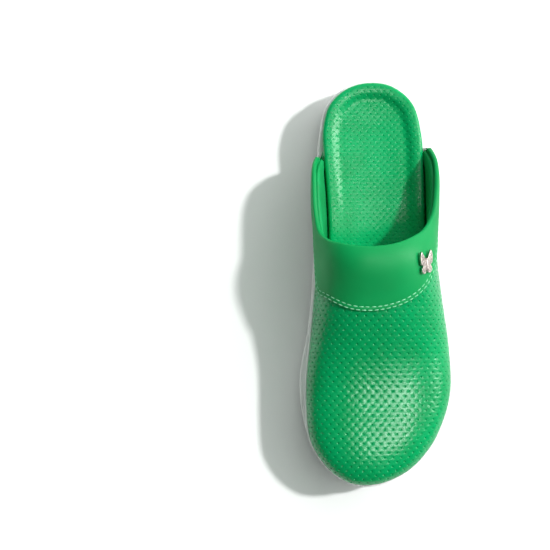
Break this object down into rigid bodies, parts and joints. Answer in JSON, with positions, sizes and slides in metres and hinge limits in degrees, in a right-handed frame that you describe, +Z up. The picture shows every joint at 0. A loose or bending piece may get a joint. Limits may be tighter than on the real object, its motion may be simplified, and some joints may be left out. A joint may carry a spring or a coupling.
{
  "type": "garden clog",
  "caption": "Open-back garden clog for the left foot: perforated leather-look vamp, smooth padded collar with winged charm, perforated footbed and thick white sole.",
  "frame": {"origin": "middle of the footprint box, on the ground", "axes": "+Z up; the heel points to +Y and the toe to -Y; +X is the outer (little toe) side of the left foot"},
  "size_m": [0.0991, 0.265, 0.0859],
  "materials": {
    "perforated_leather": "pebbled, satin, perforated",
    "smooth_leather": "smooth, satin gloss",
    "lining": "matt",
    "thread": "matt",
    "sole": "satin, moulded EVA",
    "tread": "matt",
    "foam": "matt, foamed",
    "board": "matt fibreboard",
    "steel": "satin",
    "silver": "polished, silver coloured"
  },
  "bodies": {
    "root": {"sole_unit": "sole", "forefoot_tread": "tread", "heel_tread": "tread", "heel_cushion": "foam", "shank": "steel", "forefoot_filler": "foam", "insole_board": "board", "footbed_foam": "foam", "footbed_cover": "perforated_leather", "rand": "sole", "vamp": "perforated_leather", "vamp_lining": "lining", "toe_puff": "board", "collar_band": "smooth_leather", "collar_foam": "foam", "collar_lining": "lining", "topline_binding": "smooth_leather", "seam_thread_front": "thread", "seam_thread_rear": "thread", "bartack_medial": "thread", "bartack_lateral": "thread", "charm_butterfly": "silver", "charm_post": "steel", "charm_washer": "steel", "charm_clutch": "steel"}
  },
  "joints": []
}
